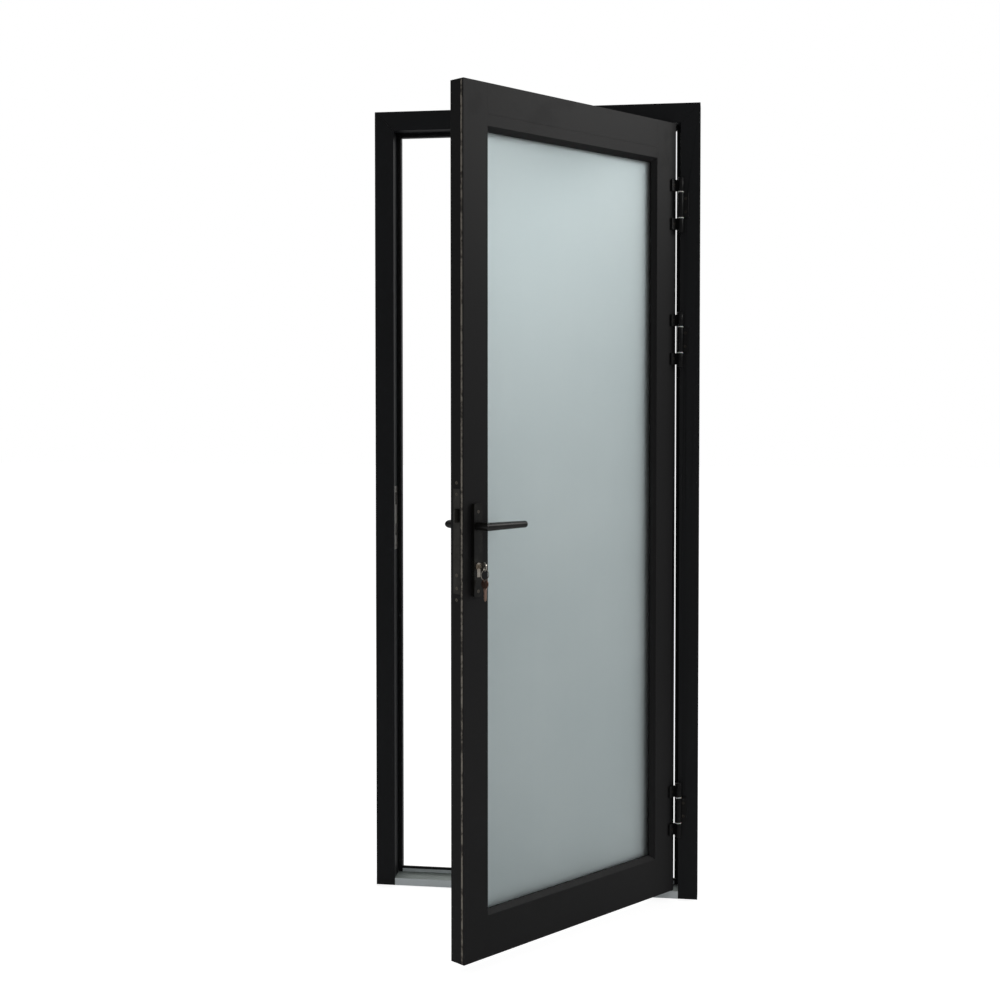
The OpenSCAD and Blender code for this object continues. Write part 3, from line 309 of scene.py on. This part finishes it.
rubber = Finish("black_rubber", metallic=0, specular_ior_level=0.25)
skin = rubber.noise(600, 3)
dust = rubber.mask(rubber.noise(20, 4, 0.6), 0.5, 0.8)
rubber.set(base_color=rubber.tint(dust, (0.006, 0.006, 0.006), (0.020, 0.020, 0.019)),
           roughness=0.62 + skin * 0.2,
           normal=rubber.bump(skin, 0.0002, 0.5))

nylon = Finish("washer_nylon", metallic=0, subsurface_weight=0.15, subsurface_scale=0.002)
grime = nylon.mask(nylon.noise(160, 4, 0.6), 0.45, 0.8)
nylon.set(base_color=nylon.tint(grime, (0.80, 0.80, 0.77), (0.52, 0.51, 0.48)),
          roughness=0.42 + grime * 0.2,
          normal=nylon.bump(nylon.noise(500, 2), 0.00005, 0.4))

pile = Finish("edge_seal_grey", metallic=0, specular_ior_level=0.2)
fibres = pile.noise(2600, 2, 0.5, stretch=(1, 1, 0.35))
dirt = pile.mask(pile.noise(60, 4, 0.7), 0.45, 0.60)
pile.set(base_color=pile.tint(dirt * 0.8 + fibres * 0.2,
                              (0.46, 0.42, 0.36), (0.07, 0.062, 0.055)),
         roughness=0.85 + fibres * 0.1,
         normal=pile.bump(fibres, 0.0006, 0.8))
print(len(finishes), "finishes")

# %% [markdown]
# ## Dressing the CAD nodes
# Each CAD node names a material slot, and the finish of that name goes on it. CAD edges are
# perfectly sharp, which no real extrusion is, and a sharp edge catches no light. A Weld modifier
# joins the doubled corners, and a Bevel modifier that acts only where faces meet at a real angle
# rounds each arris by a few tenths of a millimetre. The CAD mesh itself stays as it is.

# %% Softened edges
SAME_POINT = 2e-6       # metres: corners nearer than this are one
ARRIS_STEPS = 2         # faces across a rounded edge


def soften(thing, width, angle=28):
    """Round the edges where faces meet at more than angle degrees; width is in millimetres."""
    weld = thing.modifiers.new("weld", "WELD")
    weld.merge_threshold = SAME_POINT
    bevel = thing.modifiers.new("arris", "BEVEL")
    bevel.width, bevel.segments = width * MM, ARRIS_STEPS
    bevel.limit_method, bevel.angle_limit = "ANGLE", math.radians(angle)
    bevel.harden_normals = True
    bevel.miter_outer = "MITER_ARC"
    return thing


def wear(thing, finish):
    thing.data.materials.clear()
    thing.data.materials.append(finishes[finish])
    return thing


slot_of = {s["node"]: s["material_slot"] for s in frame["record"]["subparts"]}
for name, part in nodes.items():
    wear(part, slot_of[name])
for bolt in ("latch_bolt", "deadbolt"):
    wear(nodes[bolt], "faceplate_steel")

ARRIS = {0.5: ["frame_lock_jamb", "frame_hinge_jamb", "frame_head", "leaf_lock_stile",
               "leaf_hinge_stile", "leaf_top_rail", "leaf_bottom_rail", "top_rail_strip",
               "top_bead", "bottom_bead", "lock_side_bead", "hinge_side_bead", "threshold",
               "outside_backplate", "inside_backplate"],
         0.35: [name for name in nodes if name.startswith("hinge_") and name[6] in "123"],
         0.25: ["lock_faceplate", "strike_plate", "latch_bolt", "deadbolt"]}
for width, names in ARRIS.items():
    for name in names:
        soften(nodes[name], width)
print("dressed", len(nodes), "nodes and softened", sum(map(len, ARRIS.values())))

# %% [markdown]
# ## Making a piece
# The small pieces below are meshes drawn in the leaf's millimetres or straight in metres. Each one
# rides on the body it belongs to, names the material slot of its finish, and stands for the CAD
# node whose plain shape it refines. Round and swept shapes all come down to rings of points joined
# by quads, so one helper lofts rings. Flat faces with holes in them are filled between their loops.

# %% Helpers for meshes
def piece(name, bm, body, finish, stands_for):
    """Turn a drawn mesh into a piece that rides on a body and stands for CAD nodes."""
    bmesh.ops.recalc_face_normals(bm, faces=bm.faces)
    mesh = bpy.data.meshes.new(name)
    bm.to_mesh(mesh)
    bm.free()
    made = bpy.data.objects.new(name, mesh)
    bpy.context.scene.collection.objects.link(made)
    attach(made, body)
    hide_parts(*stands_for)
    print(name, "has", len(mesh.polygons), "faces")
    return wear(made, finish)


def band(bm, first, second, smooth=False):
    """Quads between two loops of equally many vertices."""
    for i in range(len(first)):
        j = (i + 1) % len(first)
        bm.faces.new((first[i], first[j], second[j], second[i])).smooth = smooth


def loft(bm, rings, cap_start=True):
    """Join rings of equally many points with quads, and close the ends."""
    rows = [[bm.verts.new(point) for point in ring] for ring in rings]
    for first, second in zip(rows, rows[1:]):
        band(bm, first, second, smooth=True)
    if cap_start:
        bm.faces.new(rows[0])
    bm.faces.new(rows[-1])
    return rows


def fill(bm, *loops):
    """A flat face between an outer loop of vertices and the loops inside it."""
    edges = []
    for loop in loops:
        for a, b in zip(loop, loop[1:] + loop[:1]):
            edges.append(bm.edges.get((a, b)) or bm.edges.new((a, b)))
    bmesh.ops.triangle_fill(bm, use_beauty=True, use_dissolve=False, edges=edges)


def circle(radius, steps, x=0.0, y=0.0):
    return [(x + radius * math.cos(math.tau * i / steps),
             y + radius * math.sin(math.tau * i / steps)) for i in range(steps)]


print("helpers are ready")

# %% [markdown]
# ## Screws with a cross recess
# Every screw here is a blackened countersunk screw. What makes a screw read as a screw is the
# recess: four arms that narrow towards the bottom, each screw stopped at its own angle. The CAD has
# the plain screws, so we find each one as a separate island of the node's mesh, read its head's
# centre and its radii from the island, and draw the same screw with its recess.

# %% Finding and drawing the screws
ARM, ARM_W, RECESS = 2.6, 1.0, 1.7      # half span, width and depth of the cross
RIM, EDGE = 0.25, 0.05                  # width of the head's chamfer, and how far its foot is in
NEAR = 0.1                              # points this near the head's face or the tail's end count
HEAD_STEPS = 40                         # sides of the head
chance = random.Random(11)


def islands(thing):
    """The separate solids of a CAD node, each a list of points, from the lowest up."""
    bm = bmesh.new()
    bm.from_mesh(thing.data)
    bmesh.ops.remove_doubles(bm, verts=bm.verts, dist=SAME_POINT)
    left, found = dict.fromkeys(bm.verts), []
    while left:
        queue, points = [left.popitem()[0]], []
        while queue:
            vertex = queue.pop()
            points.append(vertex.co.copy())
            for edge in vertex.link_edges:
                other = edge.other_vert(vertex)
                if other in left:
                    del left[other]
                    queue.append(other)
        found.append(points)
    bm.free()
    return sorted(found, key=lambda points: (round(points[0].z, 2), round(points[0].x, 2)))


def cross_loop(span, width):
    """The outline of a plus sign."""
    s, w = span, width / 2
    return [(s, -w), (s, w), (w, w), (w, s), (-w, s), (-w, w),
            (-s, w), (-s, -w), (-w, -w), (-w, -s), (w, -s), (w, -w)]


def draw_screw(bm, points, out):
    """Draw the screw whose CAD points these are; out is the way its head faces."""
    along = [p.dot(out) for p in points]
    face, end = max(along), min(along)
    heads = [p for p, d in zip(points, along) if d > face - NEAR * MM]
    centre = sum(heads, Vector()) / len(heads)
    head_r = max((p - centre).length for p in heads) / MM
    tail = [p - centre for p, d in zip(points, along) if d < end + NEAR * MM]
    shank_r = max((p - out * p.dot(out)).length for p in tail) / MM
    side = out.orthogonal().normalized()
    side.rotate(Matrix.Rotation(chance.uniform(0, math.tau), 3, out))
    across = out.cross(side)

    def ring(outline, depth):
        return [centre + (side * u + across * v - out * depth) * MM for u, v in outline]

    # Radius and depth from the flat of the head down to the end of the shank.
    profile = [(head_r - RIM, 0), (head_r - EDGE, RIM * 0.6),
               (shank_r, head_r - shank_r), (shank_r, (face - end) / MM)]
    rows = loft(bm, [ring(circle(radius, HEAD_STEPS), depth) for radius, depth in profile],
                cap_start=False)
    # Span, width and depth of the recess, as parts of the whole, from its mouth to its bottom.
    recess = [(1, 1, 0), (0.86, 0.8, 0.25), (0.4, 0.6, 1)]
    arms = loft(bm, [ring(cross_loop(ARM * span, ARM_W * width), depth * RECESS)
                     for span, width, depth in recess], cap_start=False)
    fill(bm, rows[0], arms[0])


def screws(name, body, out_of, finish="blackened_steel"):
    """Redraw all the screws of a CAD node; out_of gives a screw's direction from its middle."""
    bm = bmesh.new()
    for points in islands(nodes[name]):
        middle = sum(points, Vector()) / len(points)
        draw_screw(bm, points, out_of(middle))
    piece(name + "_cross", bm, body, finish, (name,))


out_of_face = (on_leaf.to_3x3() @ Vector((0, -1, 0))).normalized()
out_of_edge = (on_leaf.to_3x3() @ Vector((-1, 0, 0))).normalized()


def out_of_frame(middle):
    """The strike's screws face the opening; those of the hinges face the front."""
    return Vector((1, 0, 0)) if middle.x < 0 else Vector((0, -1, 0))


screws("lock_edge_screws", "leaf", lambda middle: out_of_edge)
screws("hinge_wing_screws", "leaf", lambda middle: out_of_face, "black_screw_steel")
screws("backplate_screws", "leaf", lambda middle: out_of_face)
screws("cylinder_screw", "leaf", lambda middle: out_of_edge)
screws("frame_hardware_screws", "door_frame", out_of_frame, "black_screw_steel")

# %% [markdown]
# ## The split ring
# A key ring is one length of spring wire wound twice, so from the side it shows two turns lying on
# each other and a short step where the wire crosses from one to the other. We sweep a round wire
# along that path. Both turns together are as thick as the CAD's plain ring.

# %% Split ring
TURN_STEPS, WIRE_SIDES = 72, 10         # rings of points in a turn, and points in each ring
ENDS_APART = 6                          # steps left out, so that the wire's ends show
RING_START = 100                        # degrees: where the wire starts
CROSSING = 40                           # degrees in which the wire crosses over
WIRE_SHARE = 0.96                       # the wire's thickness, as a part of half the ring's


def split_ring():
    low, high = leaf_box("key_ring")
    middle = (low + high) / 2
    wire = (high.y - low.y) / 4 * WIRE_SHARE
    radius = (high.z - low.z) / 2 - (high.y - low.y) / 2
    rings = []
    for i in range(2 * TURN_STEPS - ENDS_APART):
        degrees = 360 * i / TURN_STEPS
        step = min(max((degrees - 360 + CROSSING / 2) / CROSSING, 0), 1)
        shift = wire * (2 * step * step * (3 - 2 * step) - 1)
        a = math.radians(degrees + RING_START)
        outward = Vector((math.cos(a), 0, math.sin(a)))
        centre = middle + outward * radius + Vector((0, shift, 0))
        rings.append([on_leaf @ (centre + outward * (wire * v) + Vector((0, wire * u, 0)))
                      for u, v in circle(1, WIRE_SIDES)])
    bm = bmesh.new()
    loft(bm, rings)
    piece("split_ring", bm, "ring", "nickel", ("key_ring",))


split_ring()

# %% [markdown]
# ## The keys
# A stamped cylinder key is a flat blank with a round dish in its bow, a groove milled along each
# side of the blade, and cuts along one edge. Dish and grooves are shallow pockets in a flat plate,
# so one function builds the plate one side at a time: it fills the face between the outline and
# the pockets, drops each pocket's floor, and leaves the hole open right through.

# %% Key blanks with pockets
KEY_T, BOW_R, HOLE_R = 2.2, 11.0, 3.0        # the blank's thickness, its bow and the ring's hole
BLADE_L, BLADE_H = 29.0, 8.2
SHOULDER, SHOULDER_L = 1.0, 2.0              # how far it stands out from the blade, and its length
DISH_R, DISH_OFF, POCKET = 5.0, 3.4, 0.4     # the dish sits opposite the hole
GROOVE_START, GROOVE_END = 3.5, 4.0          # how far from the bow and from the tip
GROOVE_LOW, GROOVE_HIGH = -1.4, -0.2         # its two sides, across the blade
GROOVE_POINT = 1.2                           # it ends in a point this long
CUTS = [1.2, 2.6, 0.9, 2.1, 1.6]             # how deep each cut is
CUT_PITCH, FIRST_CUT = 4, 5                  # from cut to cut, and from the tip to the first
CUT_FLAT, CUT_RAMP = 0.6, 2                  # from a cut's middle to its flat's end and its ramp's
POINT, POINT_DROP = 3, 2.5                   # the tip's two slants
KEY_ARRIS, KEY_ANGLE = 0.18, 40              # edges over this many degrees are rounded this much
BOW_STEPS, DISH_STEPS, HOLE_STEPS = 44, 36, 28


def key_outline():
    """Round bow, shoulders and a cut blade; u runs from the bow's middle to the tip."""
    half, shoulder = BLADE_H / 2, BLADE_H / 2 + SHOULDER
    turn_in = math.asin(shoulder / BOW_R)
    angles = [turn_in + (math.tau - 2 * turn_in) * i / BOW_STEPS for i in range(BOW_STEPS + 1)]
    bow = [(BOW_R * math.cos(a), BOW_R * math.sin(a)) for a in angles]
    neck, tip = BOW_R + SHOULDER_L, BOW_R + BLADE_L
    edge = [(neck, -shoulder), (neck, -half), (tip - POINT, -half), (tip, -half + POINT),
            (tip - POINT / 2, half - POINT_DROP)]
    for i, depth in enumerate(reversed(CUTS)):
        place = tip - FIRST_CUT - CUT_PITCH * i
        edge += [(place + CUT_FLAT, half - depth), (place - CUT_FLAT, half - depth),
                 (place - CUT_RAMP, half - depth / 3)]
    return bow + edge + [(neck, half), (neck, shoulder)]


def groove_outline():
    start, end = BOW_R + GROOVE_START, BOW_R + BLADE_L - GROOVE_END
    return [(start, GROOVE_LOW), (end, GROOVE_LOW),
            (end + GROOVE_POINT, (GROOVE_LOW + GROOVE_HIGH) / 2),
            (end, GROOVE_HIGH), (start, GROOVE_HIGH)]


def key_mesh(name, body, place, hole, finish, node):
    """Build one key; place takes u, v and the height over its middle to the leaf's millimetres."""
    bm = bmesh.new()
    away = -Vector(hole).normalized() * DISH_OFF
    dish, hole_loop = circle(DISH_R, DISH_STEPS, *away), circle(HOLE_R, HOLE_STEPS, *hole)
    top, floor_at = KEY_T / 2, KEY_T / 2 - POCKET
    sides = []
    for sign in (1, -1):
        def loop(points, height):
            return [bm.verts.new(on_leaf @ place(u, v, sign * height)) for u, v in points]

        edge, bore = loop(key_outline(), top), loop(hole_loop, top)
        pockets = []
        for pocket in (dish, groove_outline()):
            pockets.append(loop(pocket, top))
            sunk = loop(pocket, floor_at)
            band(bm, pockets[-1], sunk)
            bm.faces.new(sunk)
        fill(bm, edge, bore, *pockets)
        sides.append((edge, bore))
    for first, second in zip(*sides):
        band(bm, first, second)
    return soften(piece(name, bm, body, finish, (node,)), KEY_ARRIS, KEY_ANGLE)


low, high = leaf_box("door_key")
bow = Vector(((low.x + high.x) / 2, low.y + BOW_R, cylinder.z))
key_mesh("cut_door_key", "turning_key",
         lambda u, v, t: Vector((bow.x + t, bow.y + u, bow.z + v)),
         (door_key_hole.y - bow.y, door_key_hole.z - bow.z), "nickel", "door_key")

low, high = leaf_box("spare_key")
hung = Vector(((low.x + high.x) / 2, spare_key_hole.y, high.z - BOW_R))
spare = key_mesh("cut_spare_key", "hanging_key",
                 lambda u, v, t: Vector((hung.x + t, hung.y + v, hung.z - u)),
                 (hung.z - spare_key_hole.z, 0), "key_brass", "spare_key")

# The spare key's bow is painted dark brown, a painted reflection of the dark room; its blade stays bright.
spare.data.materials.append(finishes["dark_reflection_brass"])
bow_end = (on_leaf @ (hung - Vector((0, 0, BOW_R)))).z
for face in spare.data.polygons:
    face.material_index = 1 if face.center.z > bow_end else 0

# %% [markdown]
# ## The pile seal
# The strip in the leaf's lock edge is a woven backing with a dense row of short fibres, which dust
# turns pale and patchy. Fibres catch the light one by one, and that dotted line can't be painted on
# a smooth strip. Each fibre is a three-sided spike with its own length and lean, set in four rows.

# %% Fibres
BACKING, CROWN = 0.55, 0.15             # how deep the backing lies, and how much it bulges
FIBRE_ROWS, FIBRE_PITCH, FIBRE_R = 4, 1.5, 0.32     # rows, from fibre to fibre, a fibre's foot
END_GAP = 1                             # no fibres this near the strip's ends


def pile_strip():
    low, high = leaf_box("leaf_edge_seal")
    backing = low.x + BACKING
    outline = [(backing, low.y), (backing - CROWN, (low.y + high.y) / 2), (backing, high.y),
               (high.x, high.y), (high.x, low.y)]
    bm = bmesh.new()
    loft(bm, [[on_leaf @ Vector((x, y, z)) for x, y in outline] for z in (low.z, high.z)])
    for row in range(FIBRE_ROWS):
        middle = low.y + (high.y - low.y) * (row + 0.5) / FIBRE_ROWS
        for i in range(int((high.z - low.z - 2 * END_GAP) / FIBRE_PITCH)):
            # A fibre stands a little off its row, and its tip is shorter than full and leans.
            z = low.z + END_GAP + (i + chance.random()) * FIBRE_PITCH
            y = middle + chance.uniform(-0.4, 0.4)
            tip = Vector((low.x + chance.uniform(0, 0.3),
                          min(max(y + chance.uniform(-0.5, 0.5), low.y), high.y),
                          z + chance.uniform(-0.6, 0.6)))
            foot = [bm.verts.new(on_leaf @ Vector((backing, y + FIBRE_R * u, z + FIBRE_R * v)))
                    for u, v in circle(1, 3)]
            point = bm.verts.new(on_leaf @ tip)
            for a, b in zip(foot, foot[1:] + foot[:1]):
                bm.faces.new((a, b, point))
    piece("pile_seal", bm, "leaf", "edge_seal_grey", ("leaf_edge_seal",))


pile_strip()

# %% [markdown]
# ## The room
# A black door is seen by what it reflects, so the room is lit the way a studio lights dark metal:
# dim all round, so that black stays black, and brighter only where a face needs it. The pane is lit
# from behind, where the upper part of the room is bright, and it glows most at its top. A little
# light comes from the right and from high up in front, for the frame's head and the edge of the
# leaf. The backdrop and the floor look plain and pale to the camera, but send little light to the
# door: a Light Path node tells the two apart.

# %% Floor and room light
FLOOR_HALF = 30         # metres
FLOOR_DROP = 0.0005     # the floor lies this much under the frame's foot
FLOOR_GLOW = 0.16       # how much of its own light the floor sends to the door
FLOOR_SEEN = 0.86       # and to the camera
ROOM_DIM = 0.075        # light from every side
ROOM_BEHIND = 1.00      # more of it from behind
ROOM_RIGHT = 0.26       # some more from the right, above
ROOM_FRONT = 0.75       # and from in front, higher still

floor_mesh = bpy.data.meshes.new("floor")
floor_mesh.from_pydata([(x * FLOOR_HALF, y * FLOOR_HALF, 0)
                        for x, y in ((-1, -1), (1, -1), (1, 1), (-1, 1))], [], [(0, 1, 2, 3)])
floor = bpy.data.objects.new("floor", floor_mesh)
bpy.context.scene.collection.objects.link(floor)
floor.location.z = -FLOOR_DROP
pale = Finish("pale_floor", roughness=1.0, specular_ior_level=0, base_color=(0.5, 0.5, 0.5, 1))
seen = pale.node("ShaderNodeLightPath", out="Is Camera Ray")
pale.set(emission_color=(1, 1, 1, 1),
         emission_strength=FLOOR_GLOW + seen * (FLOOR_SEEN - FLOOR_GLOW))
floor_mesh.materials.append(pale.material)

world = bpy.data.worlds.new("pale room")
bpy.context.scene.world = world
world.use_nodes = True
room = Network(world.node_tree)
seen = room.node("ShaderNodeLightPath", out="Is Camera Ray")
toward = room.node("ShaderNodeTexCoord", out="Generated")
x, y, z = (room.node("ShaderNodeSeparateXYZ", {}, {0: toward}, axis) for axis in "XYZ")
behind = room.mask(z, -0.75, 0.45) * room.mask(y, -0.1, 0.9) * ROOM_BEHIND
right = room.mask(z, -0.25, 0.55) * room.mask(x, 0.1, 1.0) * ROOM_RIGHT
front = room.mask(z, 0.05, 0.75) * room.mask(y * -1, 0.3, 1.0) * ROOM_FRONT
sky = world.node_tree.nodes["Background"]
room.feed(sky.inputs["Strength"], seen + (1 - seen) * (ROOM_DIM + behind + right + front))
room.feed(sky.inputs["Color"], (1, 1, 1, 1))
print("floor and room are lit")

# %% [markdown]
# ## Lamps and camera
# The open leaf's face mirrors the room's right side for a viewer in front, so one broad lamp hangs
# there, high up, and the face runs from grey at the top to nearly black at the foot. A second lamp
# behind the door, on the left, makes the pane glow brighter on that side. The camera stands where
# the eye would be, a little over half the door's height, and looks slightly down and to the left.

# %% Lamps and camera
DOOR_MIDDLE = (0.1, -0.3, 1.3)          # what both lamps point at


def lamp(name, place, size, power, colour):
    data = bpy.data.lights.new(name, "AREA")
    data.shape, data.size, data.size_y = "RECTANGLE", size[0], size[1]
    data.energy, data.color = power, colour
    made = bpy.data.objects.new(name, data)
    bpy.context.scene.collection.objects.link(made)
    made.location = place
    aim = Vector(DOOR_MIDDLE) - Vector(place)
    made.rotation_euler = aim.to_track_quat("-Z", "Y").to_euler()
    made.visible_camera = False


lamp("right_high", (3.6, 0.3, 3.0), (1.6, 1.2), 24, (1.0, 0.99, 0.97))
lamp("behind_pane", (-1.4, 3.0, 3.2), (2.4, 1.6), 20, (0.95, 1.0, 1.0))

LOOK_DOWN, LOOK_LEFT = 1.7822, 8.4885   # degrees
camera_data = bpy.data.cameras.new("camera")
camera = bpy.data.objects.new("camera", camera_data)
bpy.context.scene.collection.objects.link(camera)
bpy.context.scene.camera = camera
camera_data.sensor_width = 36
camera_data.lens = 52.86
camera_data.shift_y = -0.0437
camera.location = (0.4869, -3.9223, 1.2964)
camera.rotation_euler = (math.radians(90 - LOOK_DOWN), 0, math.radians(LOOK_LEFT))
bpy.context.scene.view_settings.view_transform = "Standard"
print("camera at", [round(v, 2) for v in camera.location])

# %% [markdown]
# ## The end
# Nothing above is meant to grow the door past its CAD box. The view layer is brought up to date.

# %% The end
bpy.context.view_layer.update()
